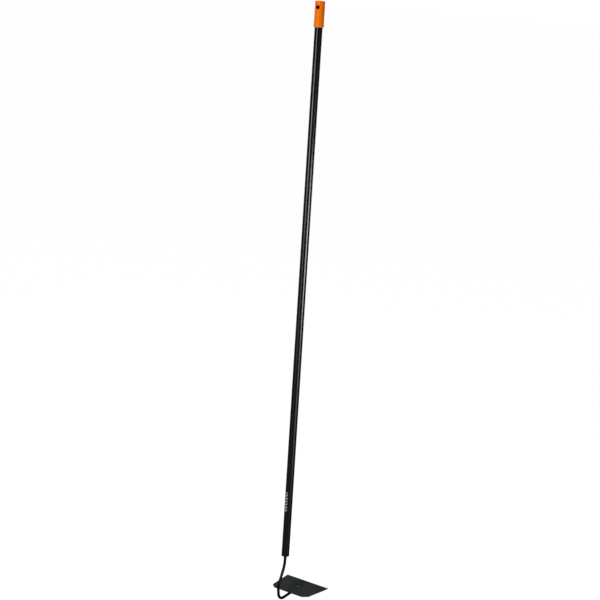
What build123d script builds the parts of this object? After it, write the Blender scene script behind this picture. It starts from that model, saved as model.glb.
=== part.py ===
from build123d import *
import os
from math import cos, radians, sin

# Long-handled draw hoe: a round metal shaft with a moulded cap to hang it by, and a thin bent
# rod that carries a flat blade. Millimetres and degrees.
#
# The origin is the middle of the hanging hole, on the axis of the shaft. +Z runs up the shaft
# to the cap, and +X is the side that the blade reaches to, which is the side of the user. The
# tool is symmetrical about the plane Y = 0, apart from the hanging hole, which is turned a
# little, because the cap is pushed on by hand.

# ---- driving dimensions ----
handle_length = 1572.0        # crown of the cap to the lower rim of the shaft
tube_diameter = 22.0
tube_wall = 1.5
rod_diameter = 8.0

cap_diameter = 27.2
cap_length = 71.5
cap_head = 28.0               # solid part of the cap, above the tube
hole_diameter = 10.5
hole_below_crown = 18.0
hole_turn = 13.0              # from -X towards -Y

blade_width = 156.0           # along the cutting edge
blade_shoulder_width = 136.0  # where the sides meet the cut-off corners
blade_back_width = 105.0
blade_depth = 89.0            # back edge to cutting edge
blade_corner_depth = 12.0     # depth of the cut-off corners
blade_thickness = 2.0
blade_tilt = 7.2              # cutting edge up, from square to the shaft
blade_reach = 20.5            # shaft axis to back edge
blade_drop = 112.6            # lower rim of the shaft to back edge

# The rod's corners before rounding: distance from the shaft axis and below the shaft's rim,
# and the radius that each one is bent to.
lean_corner = (0.0, 28.0)
lean_radius = 90.0
bow_corner = (-22.7, 86.2)
bow_radius = 33.0
hook_corner = (-17.0, 130.7)
hook_radius = 19.0
blade_meets_rod = 24.0        # from the back edge to where the rod turns along the blade
blade_bend_radius = 60.0

tang_length = 150.0           # rod inside the shaft
palm_width = 13.0
palm_thickness = 4.5
palm_start = 40.0             # from the back edge; the rod is forged flat from here on
palm_end = 58.0
forging_length = 10.0         # round section to flat section
rivet_diameter = 4.0
neck_rivet_height = 30.0      # above the lower rim of the shaft
neck_rivet_bite = 2.5         # how far it reaches into the tang

# ---- derived places ----
crown_z = hole_below_crown
rim_z = crown_z - handle_length
head_z = crown_z - cap_head
rim_thickness = 1.5
bore_radius = tube_diameter / 2 - tube_wall
tang_top_z = rim_z + tang_length
neck_rivet_z = rim_z + neck_rivet_height

blade_frame = Plane(
    origin=(blade_reach, 0, rim_z - blade_drop),
    x_dir=(cos(radians(blade_tilt)), 0, sin(radians(blade_tilt))),
    z_dir=(-sin(radians(blade_tilt)), 0, cos(radians(blade_tilt))),
)
rod_below_blade = -blade_thickness - rod_diameter / 2


def dome(radius, height):
    """A shallow dome that stands on the XY plane, a slice of a ball."""
    ball = (radius**2 + height**2) / (2 * height)
    upper_half = Box(4 * radius, 4 * radius, 2 * height, align=(Align.CENTER, Align.CENTER, Align.MIN))
    return Pos(0, 0, height - ball) * Sphere(ball) & upper_half


def upright(radius, low, high):
    """A cylinder along Z, between two heights."""
    return Pos(0, 0, (low + high) / 2) * Cylinder(radius, high - low)


def ring(outer_radius, inner_radius, low, high):
    """A ring about Z, between two heights."""
    return upright(outer_radius, low, high) - upright(inner_radius, low, high)


def rod_point(corner):
    """A corner of the rod, given as distance from the axis and depth below the rim."""
    return (corner[0], 0, rim_z - corner[1])


def cross_section(along, height):
    """A plane square to the blade's depth, its X across the blade and its Y up from it."""
    origin = blade_frame.from_local_coords((along, 0, height))
    return Plane(origin=origin, x_dir=(0, 1, 0), z_dir=blade_frame.x_dir)


def shaft_tube():
    tube = ring(tube_diameter / 2, bore_radius, rim_z + rim_thickness, head_z)
    return tube - front_hole()


def front_hole():
    """The hole for the neck rivet, from inside the tang out through the front of the shaft."""
    point = 0.5               # how much deeper the drill goes than the rivet
    bottom = rod_diameter / 2 - neck_rivet_bite - point
    drill = upright(rivet_diameter / 2, bottom, tube_diameter)
    return Pos(0, 0, neck_rivet_z) * Rot(0, 90, 0) * drill


def end_cap():
    radius = cap_diameter / 2
    edge = 2.2                # rounding of the upper edge
    crown = 0.8               # how far the top is domed
    lip = 7.0                 # height of the slightly wider lower lip
    lip_slope = 3.0           # height over which it widens
    lip_step = 0.45
    lip_edge = 0.6            # rounding of the lower edge
    mouth_edge = 0.7          # rounding of the hanging hole's two mouths
    foot_z = crown_z - cap_length
    spigot_radius = 7.5
    spigot_length = 25.0

    shoulder_z = crown_z - crown
    half_outline = Polyline(
        (0, foot_z),
        (radius + lip_step, foot_z),
        (radius + lip_step, foot_z + lip),
        (radius, foot_z + lip + lip_slope),
        (radius, shoulder_z),
        (0, shoulder_z),
        close=True,
    )
    seam_turn = 90            # keeps the seam of the turned surface clear of the hanging hole
    body = Rot(0, 0, seam_turn) * revolve(Plane.XZ * make_face(half_outline), Axis.Z)
    shoulder_edge = body.edges().filter_by(GeomType.CIRCLE).sort_by(Axis.Z)[-1]
    body = fillet(shoulder_edge, edge)
    body += Pos(0, 0, shoulder_z) * dome(radius - edge, crown)

    foot_edge = body.edges().filter_by(GeomType.CIRCLE).sort_by(Axis.Z)[0]
    body = fillet(foot_edge, lip_edge)

    body -= ring(tube_diameter / 2, bore_radius, foot_z, head_z)
    body -= upright(spigot_radius, foot_z, head_z)
    body -= upright(bore_radius, foot_z, head_z - spigot_length)

    hole = Rot(0, 0, hole_turn) * Rot(0, 90, 0) * Cylinder(hole_diameter / 2, cap_diameter + 2)
    drilled = body - hole
    mouths = drilled.edges().filter_by(GeomType.BSPLINE)
    return fillet(mouths, mouth_edge)


def neck_bush():
    body_length = 45.0
    rim_edge = 1.05           # rounding of the rim's outer edge
    rim = ring(tube_diameter / 2, rod_diameter / 2, rim_z, rim_z + rim_thickness)
    outer_edge = rim.edges().group_by(Axis.Z)[0].sort_by(SortBy.LENGTH)[-1]
    rim = fillet(outer_edge, rim_edge)
    body = ring(bore_radius, rod_diameter / 2, rim_z + rim_thickness, rim_z + body_length)
    return rim + body - front_hole()


def tang_bush():
    length = 20.0
    below_tang_top = 5.0
    top = tang_top_z - below_tang_top
    return ring(bore_radius, rod_diameter / 2, top - length, top)


def neck_rivet():
    """Shank from inside the tang to the tube, and a low dome on the front of the shaft."""
    head_radius = 3.5
    head_height = 1.3
    inner_end = rod_diameter / 2 - neck_rivet_bite
    shank = upright(rivet_diameter / 2, inner_end, tube_diameter / 2)
    rivet = shank + Pos(0, 0, tube_diameter / 2) * dome(head_radius, head_height)
    return Pos(0, 0, neck_rivet_z) * Rot(0, 90, 0) * rivet


def rod_path():
    corners = [
        (0, 0, tang_top_z),
        rod_point(lean_corner),
        rod_point(bow_corner),
        rod_point(hook_corner),
        blade_frame.from_local_coords((blade_meets_rod, 0, rod_below_blade)),
        blade_frame.from_local_coords((palm_start - forging_length, 0, rod_below_blade)),
    ]
    radii = [lean_radius, bow_radius, hook_radius, blade_bend_radius]
    return FilletPolyline(*corners, radius=radii)


def neck_rod():
    top_chamfer = 1.0
    palm_edge = 1.4           # rounding of the palm's edges
    tip_edge = 1.39           # the same at its rounded end, which can't be rounded quite as far
    round_section = Plane(origin=(0, 0, tang_top_z), z_dir=(0, 0, -1)) * Circle(rod_diameter / 2)
    rod = sweep(round_section, path=rod_path())
    rod = chamfer(rod.edges().group_by(Axis.Z)[-1], top_chamfer)

    palm_middle = -blade_thickness - palm_thickness / 2
    forging_start = cross_section(palm_start - forging_length, rod_below_blade)
    forging_end = cross_section(palm_start, palm_middle)
    flat_section = RectangleRounded(palm_width, palm_thickness, palm_edge)
    forging = loft([forging_start * Circle(rod_diameter / 2), forging_end * flat_section])

    end_radius = palm_width / 2
    straight = palm_end - palm_start - end_radius
    palm = extrude(forging_end * flat_section, straight)
    tip = Pos(palm_start + straight, 0, palm_middle) * Cylinder(end_radius, palm_thickness)
    tip = fillet(tip.edges().filter_by(GeomType.CIRCLE), tip_edge)
    rod = rod + forging + palm + blade_frame.location * tip
    return rod - front_hole() - blade_rivet_hole()


def blade_rivet_hole():
    """A hole through the middle of the blade and on through the palm."""
    drill = Cylinder(rivet_diameter / 2, 4 * rod_diameter)
    return blade_frame.location * Pos(blade_depth / 2, 0, 0) * drill


def blade():
    half_back = blade_back_width / 2
    half_shoulder = blade_shoulder_width / 2
    half_edge = blade_width / 2
    corner_radius = 5.0
    tip_radius = 1.0
    burr_radius = 0.35        # how far the cut edges of the sheet are rounded
    margin = 1.0
    outline = Polyline(
        (0, -half_back),
        (blade_corner_depth, -half_shoulder),
        (blade_depth, -half_edge),
        (blade_depth, half_edge),
        (blade_corner_depth, half_shoulder),
        (0, half_back),
        close=True,
    )
    plan = make_face(outline)
    back_corners = plan.vertices().filter_by_position(Axis.X, -margin, blade_corner_depth + margin)
    plan = fillet(back_corners, corner_radius)
    tips = plan.vertices().filter_by_position(Axis.X, blade_depth - margin, blade_depth + margin)
    plan = fillet(tips, tip_radius)
    plate = extrude(plan, -blade_thickness)
    plate = fillet(plate.edges().filter_by(Plane.XY), burr_radius)

    placed = blade_frame.location * (plate - bevel() - countersink())
    return placed - blade_rivet_hole()


def bevel():
    """The wedge that is ground off the underside of the cutting edge."""
    height = 1.4
    width = 6.0
    triangle = Polyline(
        (blade_depth - width, -blade_thickness),
        (blade_depth, -blade_thickness),
        (blade_depth, height - blade_thickness),
        close=True,
    )
    return extrude(Plane.XZ * make_face(triangle), blade_width, both=True)


def countersink():
    """The cone that the rivet's upper end fills, flush with the top of the blade."""
    upper_radius = 2.8
    depth = upper_radius - rivet_diameter / 2
    return Pos(blade_depth / 2, 0, -depth / 2) * Cone(rivet_diameter / 2, upper_radius, depth)


def blade_rivet():
    """Shank through blade and palm, flush above in its countersink, and domed below."""
    tail_radius = 4.0
    tail_height = 1.8
    palm_face = -blade_thickness - palm_thickness
    shank = Pos(blade_depth / 2, 0, 0) * upright(rivet_diameter / 2, palm_face, 0)
    tail = Pos(blade_depth / 2, 0, palm_face) * Rot(180, 0, 0) * dome(tail_radius, tail_height)
    return blade_frame.location * (shank + countersink() + tail)


def neck_welds():
    """Two fillet beads, in the corners between the palm's straight sides and the blade."""
    bead_radius = 2.6
    bead_start = palm_start + 0.5
    bead_length = 10.0
    overlong = 3 * bead_length
    low = (Align.CENTER, Align.CENTER, Align.MAX)
    outer_corner = Box(overlong, bead_radius * 2, bead_radius * 2, align=low)
    beads = []
    for side in (-1, 1):
        corner = Pos(bead_start + bead_length / 2, side * palm_width / 2, -blade_thickness)
        bead = Rot(0, 90, 0) * Cylinder(bead_radius, bead_length)
        for end in (-1, 1):
            bead += Pos(end * bead_length / 2, 0, 0) * Sphere(bead_radius)
        bead = corner * bead
        middle = side * (palm_width / 2 + bead_radius)
        outside = Pos(bead_start + bead_length / 2, middle, -blade_thickness) * outer_corner
        beads.append(blade_frame.location * (bead & outside))
    return Compound(children=beads)


parts = {
    "shaft_tube": shaft_tube(),
    "end_cap": end_cap(),
    "neck_bush": neck_bush(),
    "tang_bush": tang_bush(),
    "neck_rivet": neck_rivet(),
    "neck_rod": neck_rod(),
    "blade": blade(),
    "blade_rivet": blade_rivet(),
    "neck_welds": neck_welds(),
}

os.makedirs("parts", exist_ok=True)
for name, shape in parts.items():
    export_step(shape, f"parts/{name}.step")
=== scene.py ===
"""Looks of the long-handled draw hoe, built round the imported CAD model. Metres."""

import math

import bmesh
import bpy
from mathutils import Matrix, Vector


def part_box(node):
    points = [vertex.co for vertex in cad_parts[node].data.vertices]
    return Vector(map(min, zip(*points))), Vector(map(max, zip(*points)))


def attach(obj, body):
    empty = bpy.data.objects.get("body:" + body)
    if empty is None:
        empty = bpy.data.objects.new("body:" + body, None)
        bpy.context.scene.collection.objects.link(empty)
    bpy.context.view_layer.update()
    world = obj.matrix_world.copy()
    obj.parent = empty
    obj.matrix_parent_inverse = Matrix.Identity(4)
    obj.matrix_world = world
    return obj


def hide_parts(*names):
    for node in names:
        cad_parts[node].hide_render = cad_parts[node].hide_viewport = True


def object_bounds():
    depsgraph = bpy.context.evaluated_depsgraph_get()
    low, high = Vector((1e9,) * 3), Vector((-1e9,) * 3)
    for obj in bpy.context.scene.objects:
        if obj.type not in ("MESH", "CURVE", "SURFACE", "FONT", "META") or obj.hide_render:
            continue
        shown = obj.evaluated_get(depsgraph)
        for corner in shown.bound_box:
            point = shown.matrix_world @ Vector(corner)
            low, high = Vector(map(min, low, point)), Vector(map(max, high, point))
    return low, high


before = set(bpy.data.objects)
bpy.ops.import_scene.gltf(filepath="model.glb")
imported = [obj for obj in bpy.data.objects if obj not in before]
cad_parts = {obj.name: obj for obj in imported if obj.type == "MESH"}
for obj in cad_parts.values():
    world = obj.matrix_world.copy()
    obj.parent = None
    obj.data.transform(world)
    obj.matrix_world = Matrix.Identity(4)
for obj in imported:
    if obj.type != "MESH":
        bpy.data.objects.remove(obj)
cad_low, cad_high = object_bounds()

MM = 0.001
SHAFT_LOW, SHAFT_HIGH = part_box("shaft_tube")
BLADE_LOW, BLADE_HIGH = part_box("blade")
CAP_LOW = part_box("end_cap")[0]
HOLE_TURN = math.radians(13)
HOLE_RADIUS = 5.25 * MM
BLADE_TILT = math.radians(7.2)
BLADE_THICKNESS = 2 * MM
BLADE_BACK = Vector((BLADE_LOW.x, 0, BLADE_LOW.z + BLADE_THICKNESS))

# ---- camera: seen from the back of the shaft, to its left, from a little above ----
VIEW_AZIMUTH = math.radians(-49.87)
VIEW_PITCH = math.radians(10.18)
VIEW_ROLL = math.radians(3.604)
VIEW_YAW = math.radians(0.047)
VIEW_DISTANCE = 4.854
VIEW_HEIGHT = 0.0637
LENS = 105.97
VIEW_BACK = Vector((math.sin(VIEW_AZIMUTH), -math.cos(VIEW_AZIMUTH), 0))
VIEW_RIGHT = Vector((math.cos(VIEW_AZIMUTH), math.sin(VIEW_AZIMUTH), 0))

# ---- lamps: angle from the camera's direction, left negative, and distance from the shaft ----
LEFT_ANGLE = -37
RIGHT_ANGLE = 49
BACK_ANGLE = 145
KEY_ANGLE = -35
LAMP_DISTANCE = 2.4


def make_camera():
    """The camera, turned a little about its own axis, so that the shaft leans in the picture."""
    data = bpy.data.cameras.new("camera")
    data.lens = LENS
    data.clip_end = 500
    camera = bpy.data.objects.new("camera", data)
    bpy.context.scene.collection.objects.link(camera)
    turn = (
        Matrix.Rotation(VIEW_AZIMUTH + VIEW_YAW, 4, "Z")
        @ Matrix.Rotation(math.pi / 2 - VIEW_PITCH, 4, "X")
        @ Matrix.Rotation(VIEW_ROLL, 4, "Z")
    )
    place = VIEW_BACK * VIEW_DISTANCE
    place.z = VIEW_HEIGHT
    camera.matrix_world = Matrix.Translation(place) @ turn
    bpy.context.scene.camera = camera


# ---- stage ----
def make_floor():
    """A wide white floor that glows a little, as a lit studio sweep does."""
    reach = 120
    gap = 1 * MM
    mesh = bpy.data.meshes.new("floor")
    corners = [(-reach, -reach, 0), (reach, -reach, 0), (reach, reach, 0), (-reach, reach, 0)]
    mesh.from_pydata(corners, [], [(0, 1, 2, 3)])
    floor = bpy.data.objects.new("floor", mesh)
    floor.location.z = cad_low.z - gap
    floor.visible_glossy = False
    floor.visible_shadow = False
    bpy.context.scene.collection.objects.link(floor)
    material = bpy.data.materials.new("floor")
    material.use_nodes = True
    nodes, links = material.node_tree.nodes, material.node_tree.links
    shader = nodes["Principled BSDF"]
    shader.inputs["Base Color"].default_value = (0.02, 0.02, 0.02, 1)
    shader.inputs["Roughness"].default_value = 0.9
    shader.inputs["Emission Color"].default_value = (1, 1, 1, 1)
    links.new(seen_or_felt(nodes, links, seen=0.99, felt=0.45), shader.inputs["Emission Strength"])
    mesh.materials.append(material)


def seen_or_felt(nodes, links, seen, felt):
    """A strength that is one number to the camera and another to the light on the object."""
    path = nodes.new("ShaderNodeLightPath")
    strength = nodes.new("ShaderNodeMapRange")
    strength.inputs["To Min"].default_value = felt
    strength.inputs["To Max"].default_value = seen
    links.new(path.outputs["Is Camera Ray"], strength.inputs["Value"])
    return strength.outputs["Result"]


def make_world():
    """White behind the object, and a dim grey room for what the object reflects."""
    world = bpy.data.worlds.new("studio")
    bpy.context.scene.world = world
    world.use_nodes = True
    nodes, links = world.node_tree.nodes, world.node_tree.links
    backdrop = nodes["Background"]
    backdrop.inputs["Color"].default_value = (1, 1, 1, 1)
    links.new(seen_or_felt(nodes, links, seen=1.0, felt=0.025), backdrop.inputs["Strength"])


def softbox(name, side_angle, height, size, power, aim=None, distance=LAMP_DISTANCE):
    """A rectangular lamp that faces the shaft. aim is the height that the lamp points at, which
    is its own height if none is given."""
    data = bpy.data.lights.new(name, "AREA")
    data.shape = "RECTANGLE"
    data.size, data.size_y = size
    data.energy = power
    lamp = bpy.data.objects.new(name, data)
    bpy.context.scene.collection.objects.link(lamp)
    angle = math.radians(side_angle)
    place = (VIEW_BACK * math.cos(angle) + VIEW_RIGHT * math.sin(angle)) * distance
    lamp.location = (place.x, place.y, height)
    target = Vector((0, 0, height if aim is None else aim))
    lamp.rotation_euler = (target - lamp.location).to_track_quat("-Z", "Y").to_euler()
    return lamp


def make_lights():
    """Dim wide lamps at the sides for the soft highlights on the shaft and the cap, and two lamps
    from above for the blade."""
    softbox("left_softbox", LEFT_ANGLE, -0.53, (0.8, 0.68), 7.0)
    softbox("low_left_softbox", LEFT_ANGLE, -1.20, (0.8, 0.66), 1.3)
    softbox("cap_softbox", LEFT_ANGLE, 0.02, (0.8, 0.20), 2.0)
    softbox("right_softbox", RIGHT_ANGLE, -1.01, (0.95, 0.58), 14)
    softbox("low_right_softbox", RIGHT_ANGLE, -1.62, (0.95, 0.65), 2.2)
    softbox("back_left_softbox", -BACK_ANGLE, -0.70, (0.50, 1.40), 4)
    softbox("back_right_softbox", BACK_ANGLE, -0.70, (0.50, 1.40), 4)
    softbox("key", KEY_ANGLE, 2.4, (1.0, 1.0), 100, aim=0)
    straight_down = (0, 0, 0)
    overhead = softbox("overhead", 0, 2.4, (2.6, 2.6), 25, distance=0.01)
    overhead.rotation_euler = straight_down


# ---- node helpers ----
class Surface:
    """A principled material and short names for the nodes that feed it."""

    def __init__(self, name):
        self.material = bpy.data.materials.new(name)
        self.material.use_nodes = True
        self.nodes = self.material.node_tree.nodes
        self.links = self.material.node_tree.links
        self.shader = self.nodes["Principled BSDF"]
        self.place = self.nodes.new("ShaderNodeTexCoord").outputs["Object"]

    def set(self, socket, value):
        self.shader.inputs[socket].default_value = value

    def feed(self, socket, output):
        self.links.new(output, self.shader.inputs[socket])

    def math(self, kind, a, b=0.0):
        """One calculation on one or two values, each an output or a number."""
        node = self.nodes.new("ShaderNodeMath")
        node.operation = kind
        for socket, value in zip(node.inputs, (a, b)):
            if isinstance(value, (int, float)):
                socket.default_value = value
            else:
                self.links.new(value, socket)
        return node.outputs[0]

    def split(self):
        """The x, y and z of the place on the surface."""
        node = self.nodes.new("ShaderNodeSeparateXYZ")
        self.links.new(self.place, node.inputs[0])
        return node.outputs

    def noise(self, scale, detail=3.0, stretch=(1, 1, 1), roughness=0.5):
        """Noise whose grains are about 1 / scale metres across."""
        mapping = self.nodes.new("ShaderNodeMapping")
        mapping.inputs["Scale"].default_value = stretch
        self.links.new(self.place, mapping.inputs["Vector"])
        node = self.nodes.new("ShaderNodeTexNoise")
        node.inputs["Scale"].default_value = scale
        node.inputs["Detail"].default_value = detail
        node.inputs["Roughness"].default_value = roughness
        self.links.new(mapping.outputs[0], node.inputs["Vector"])
        return node.outputs["Fac"]

    def spread(self, value, low, high, to_low=0.0, to_high=1.0):
        """Maps low to to_low and high to to_high, and holds values outside at those ends."""
        node = self.nodes.new("ShaderNodeMapRange")
        for socket, number in zip(list(node.inputs)[1:5], (low, high, to_low, to_high)):
            socket.default_value = number
        self.links.new(value, node.inputs["Value"])
        return node.outputs["Result"]

    def blend(self, factor, first, second):
        """Mixes two colours, each an output or three numbers."""
        node = self.nodes.new("ShaderNodeMix")
        node.data_type = "RGBA"
        self.links.new(factor, node.inputs["Factor"])
        for socket, value in ((node.inputs["A"], first), (node.inputs["B"], second)):
            if isinstance(value, tuple):
                socket.default_value = (*value, 1)
            else:
                self.links.new(value, socket)
        return node.outputs["Result"]

    def bump(self, height, depth, previous=None):
        node = self.nodes.new("ShaderNodeBump")
        node.inputs["Strength"].default_value = 1.0
        node.inputs["Distance"].default_value = depth
        self.links.new(height, node.inputs["Height"])
        if previous is not None:
            self.links.new(previous, node.inputs["Normal"])
        return node.outputs["Normal"]


# ---- materials ----
def shaft_coat():
    """Satin black powder coat, with painted light that makes it lighter and bluer towards the ground
    in random patches, and a row of plain slanted bars printed on the back."""
    s = Surface("satin_black_coat")
    x, y, z = s.split()
    patches = s.noise(9, 4, stretch=(1, 1, 0.25))
    downwards = s.spread(z, SHAFT_HIGH.z, SHAFT_LOW.z)
    # Painted light: the coat grows lighter and bluer towards the ground, broken up by random
    # patches.
    patchy_painted_light = s.math("ADD", downwards, s.spread(patches, 0.3, 0.7, -0.12, 0.12))
    coat = s.blend(patchy_painted_light, (0.0009, 0.0013, 0.0015), (0.0072, 0.0110, 0.0120))
    s.feed("Base Color", s.blend(printed_bars(s, x, y, z), coat, (0.62, 0.63, 0.63)))
    scuffs = s.noise(260, 3, stretch=(1, 1, 0.06))
    s.feed("Roughness", s.spread(scuffs, 0.3, 0.75, 0.18, 0.25))
    s.feed("Normal", s.bump(s.noise(750, 2), 0.000012))
    s.set("Specular IOR Level", 1.0)
    s.set("Specular Tint", (0.93, 0.98, 1.0, 1))
    return s.material


def printed_bars(s, x, y, z):
    """1 on the printed mark: slanted bars in a row along the back of the shaft."""
    start = SHAFT_LOW.z + 133 * MM
    length = 56 * MM
    half_width = 3.6 * MM
    pitch = 8.8 * MM
    slant = 0.7
    bar_share = 0.5
    along = s.math("SUBTRACT", z, start)
    slanted = s.math("ADD", along, s.math("MULTIPLY", y, slant))
    phase = s.math("FRACT", s.math("DIVIDE", slanted, pitch))
    bar = s.math("LESS_THAN", phase, bar_share)
    inside = s.math("LESS_THAN", s.math("ABSOLUTE", y), half_width)
    for test in (
        s.math("LESS_THAN", x, 0),
        s.math("GREATER_THAN", along, 0),
        s.math("LESS_THAN", along, length),
        bar,
    ):
        inside = s.math("MULTIPLY", inside, test)
    worn = s.spread(s.noise(900, 3), 0.3, 0.6, 0.7, 1.0)
    return s.math("MULTIPLY", inside, worn)


def cap_plastic():
    """Orange moulded plastic, with painted light from below that makes the lower lip paler, and
    painted shade in the hanging hole.
    """
    s = Surface("orange_moulded_plastic")
    cloud = s.noise(70, 3)
    orange = s.blend(s.spread(cloud, 0.35, 0.65), (0.78, 0.145, 0.001), (0.84, 0.165, 0.002))
    z = s.split()[2]
    ragged_height = s.math("ADD", z, s.math("MULTIPLY", s.noise(240, 3), 2.0 * MM))
    lip_light_top = CAP_LOW.z + 5.5 * MM
    lip_light_full = CAP_LOW.z + 3.5 * MM
    # Painted light from below: the lower lip is blended towards a paler orange, with a ragged upper
    # edge.
    lip_light = s.spread(ragged_height, lip_light_top, lip_light_full, 0.0, 0.4)
    orange = s.blend(lip_light, orange, (0.62, 0.27, 0.10))
    hole = painted_hole_shade(s)
    # Painted shade: the wall of the hanging hole is made near black and rough.
    s.feed("Base Color", s.blend(hole, orange, (0.004, 0.003, 0.002)))
    smooth = s.spread(s.noise(400, 3), 0.3, 0.7, 0.25, 0.33)
    s.feed("Roughness", s.math("ADD", smooth, s.math("MULTIPLY", hole, 0.65)))
    s.feed("Normal", s.bump(s.noise(1600, 2), 0.000012))
    s.set("Specular IOR Level", 0.7)
    s.set("Specular Tint", (1.0, 0.95, 0.15, 1))
    return s.material


def painted_hole_shade(s):
    """1 on the wall of the hanging hole, where painted shade goes, and 0 outside it."""
    clean_from = HOLE_RADIUS + 0.35 * MM
    dark_within = HOLE_RADIUS + 0.15 * MM
    x, y, z = s.split()
    y_part = s.math("MULTIPLY", y, math.cos(HOLE_TURN))
    x_part = s.math("MULTIPLY", x, math.sin(HOLE_TURN))
    across = s.math("SUBTRACT", y_part, x_part)
    squares = s.math("ADD", s.math("MULTIPLY", across, across), s.math("MULTIPLY", z, z))
    return s.spread(s.math("SQRT", squares), clean_from, dark_within)


def bush_plastic():
    """Plain black plastic with a fine moulded grain."""
    s = Surface("black_moulded_plastic")
    s.feed("Base Color", s.blend(s.noise(300, 3), (0.008, 0.008, 0.009), (0.014, 0.014, 0.015)))
    s.feed("Roughness", s.spread(s.noise(500, 2), 0.3, 0.7, 0.45, 0.6))
    s.feed("Normal", s.bump(s.noise(1500, 2), 0.00003))
    return s.material


def neck_paint():
    """Black enamel on a bent rod, with a fine grain and a slight waviness."""
    s = Surface("black_enamel")
    s.feed("Base Color", s.blend(s.noise(60, 4), (0.0016, 0.0018, 0.0016), (0.0030, 0.0033, 0.0030)))
    s.feed("Roughness", s.spread(s.noise(220, 4), 0.3, 0.7, 0.36, 0.5))
    grain = s.bump(s.noise(900, 2), 0.00004)
    s.feed("Normal", s.bump(s.noise(140, 3), 0.00010, grain))
    s.set("Specular IOR Level", 0.25)
    return s.material


def blade_paint():
    """Dark baked coating on sheet steel, with a painted sheen that lightens it towards +Y, faint
    drag marks, and worn through in places along the cutting edge."""
    worn_from_edge = 0.25 * MM
    raggedness = 1.4 * MM
    s = Surface("dark_baked_coat")
    x, y, z = s.split()
    cloud = s.noise(26, 4)
    fine = s.noise(420, 3)
    coat = s.blend(s.spread(cloud, 0.35, 0.65), (0.0160, 0.0215, 0.0195), (0.0215, 0.0280, 0.0250))
    coat = s.blend(s.spread(fine, 0.35, 0.75, 0.0, 0.35), coat, (0.029, 0.034, 0.031))
    # Painted sheen: the coat is blended to a lighter colour towards +Y.
    sheen_from = -20 * MM
    painted_sheen = s.spread(y, sheen_from, BLADE_HIGH.y, 0.0, 0.5)
    coat = s.blend(painted_sheen, coat, (0.034, 0.043, 0.039))
    from_back = s.math(
        "ADD",
        s.math("MULTIPLY", s.math("SUBTRACT", x, BLADE_BACK.x), math.cos(BLADE_TILT)),
        s.math("MULTIPLY", s.math("SUBTRACT", z, BLADE_BACK.z), math.sin(BLADE_TILT)),
    )
    depth = (BLADE_HIGH.x - BLADE_LOW.x) / math.cos(BLADE_TILT)
    ragged = s.math("ADD", from_back, s.math("MULTIPLY", s.noise(300, 4), raggedness))
    bare = s.math("GREATER_THAN", ragged, depth + worn_from_edge)
    s.feed("Base Color", s.blend(bare, coat, (0.22, 0.22, 0.21)))
    s.feed("Metallic", s.math("MULTIPLY", bare, 0.9))
    drags = s.noise(330, 4, stretch=(0.05, 1, 1), roughness=0.6)
    dull = s.math("MULTIPLY", s.spread(drags, 0.52, 0.64), 0.10)
    s.feed("Roughness", s.math("ADD", s.spread(fine, 0.3, 0.7, 0.44, 0.56), dull))
    grain = s.bump(s.noise(1300, 2), 0.00005)
    s.feed("Normal", s.bump(drags, 0.00004, grain))
    return s.material


def rivet_steel():
    """Dull zinc-plated steel."""
    s = Surface("dull_zinc_steel")
    s.feed("Base Color", s.blend(s.noise(900, 3), (0.34, 0.34, 0.33), (0.50, 0.50, 0.48)))
    s.set("Metallic", 0.6)
    s.feed("Roughness", s.spread(s.noise(1400, 3), 0.3, 0.7, 0.38, 0.58))
    s.feed("Normal", s.bump(s.noise(2500, 2), 0.00003))
    return s.material


# ---- pieces ----
def on_blade(along, across, up):
    """A point given from the middle of the blade's back edge, across it and up from its face."""
    return Vector((
        BLADE_BACK.x + along * math.cos(BLADE_TILT) - up * math.sin(BLADE_TILT),
        across,
        BLADE_BACK.z + along * math.sin(BLADE_TILT) + up * math.cos(BLADE_TILT),
    ))


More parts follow.
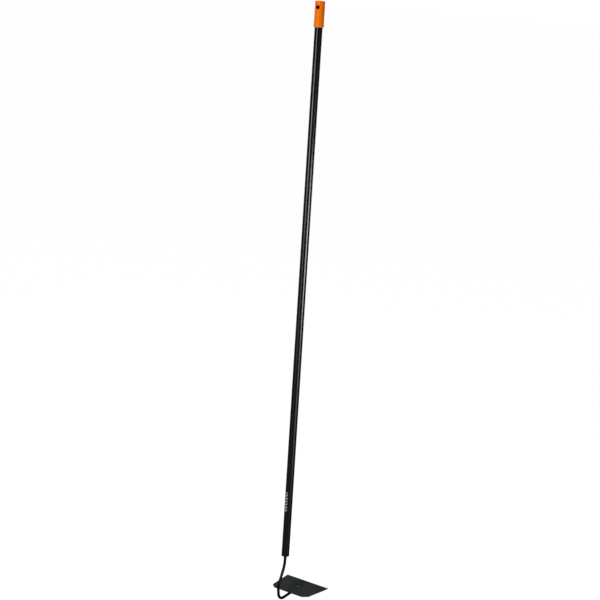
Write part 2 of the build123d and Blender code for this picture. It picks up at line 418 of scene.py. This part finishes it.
def weld_bead(side, material):
    """A rippled fillet bead in the corner between the blade and one side of the palm, which is
    the flattened end of the rod. Its places are from the back edge of the blade."""
    start = 38.6 * MM
    end = 52.4 * MM
    leg = 2.5 * MM
    ripple = 0.16 * MM
    pitch = 1.3 * MM
    ripple_bow = 0.25 * leg
    end_radius = 0.02 * MM
    sunk = 0.05 * MM
    palm_side = 6.4 * MM
    underside = -BLADE_THICKNESS + sunk
    stations = 66
    steps = 10
    bm = bmesh.new()
    rings = []
    for i in range(stations + 1):
        along = start + (end - start) * i / stations
        nearest_end = min(along - start, end - along)
        swell = math.sqrt(max(0.0, 1 - max(0.0, 1 - nearest_end / leg) ** 2))
        ring = [bm.verts.new(on_blade(along, side * palm_side, underside))]
        for j in range(steps + 1):
            angle = math.pi / 2 * j / steps
            wave = abs(math.sin(math.pi * (along - ripple_bow * math.sin(2 * angle)) / pitch))
            reach = swell * (leg + ripple * (wave - 1)) + end_radius
            across = side * (palm_side + reach * math.cos(angle))
            up = underside - reach * math.sin(angle)
            ring.append(bm.verts.new(on_blade(along, across, up)))
        rings.append(ring)
    count = steps + 2
    for near, far in zip(rings, rings[1:]):
        for j in range(count):
            k = (j + 1) % count
            bm.faces.new((near[j], near[k], far[k], far[j]))
    bm.faces.new(rings[0])
    bm.faces.new(rings[-1])
    bmesh.ops.recalc_face_normals(bm, faces=bm.faces)
    mesh = bpy.data.meshes.new("weld_bead")
    bm.to_mesh(mesh)
    bm.free()
    for face in mesh.polygons:
        face.use_smooth = len(face.vertices) == 4
    mesh.materials.append(material)
    bead = bpy.data.objects.new("weld_bead_left" if side > 0 else "weld_bead_right", mesh)
    bpy.context.scene.collection.objects.link(bead)
    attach(bead, "root")
    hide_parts("neck_welds")


def dress(material, *nodes):
    """Gives CAD nodes a material."""
    for name in nodes:
        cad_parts[name].material_slots[0].material = material


bpy.context.scene.view_settings.view_transform = "Standard"
make_camera()
make_floor()
make_world()
make_lights()
dress(shaft_coat(), "shaft_tube")
dress(cap_plastic(), "end_cap")
dress(bush_plastic(), "neck_bush", "tang_bush")
enamel = neck_paint()
dress(enamel, "neck_rod")
weld_bead(1, enamel)
weld_bead(-1, enamel)
dress(blade_paint(), "blade")
dress(rivet_steel(), "neck_rivet", "blade_rivet")
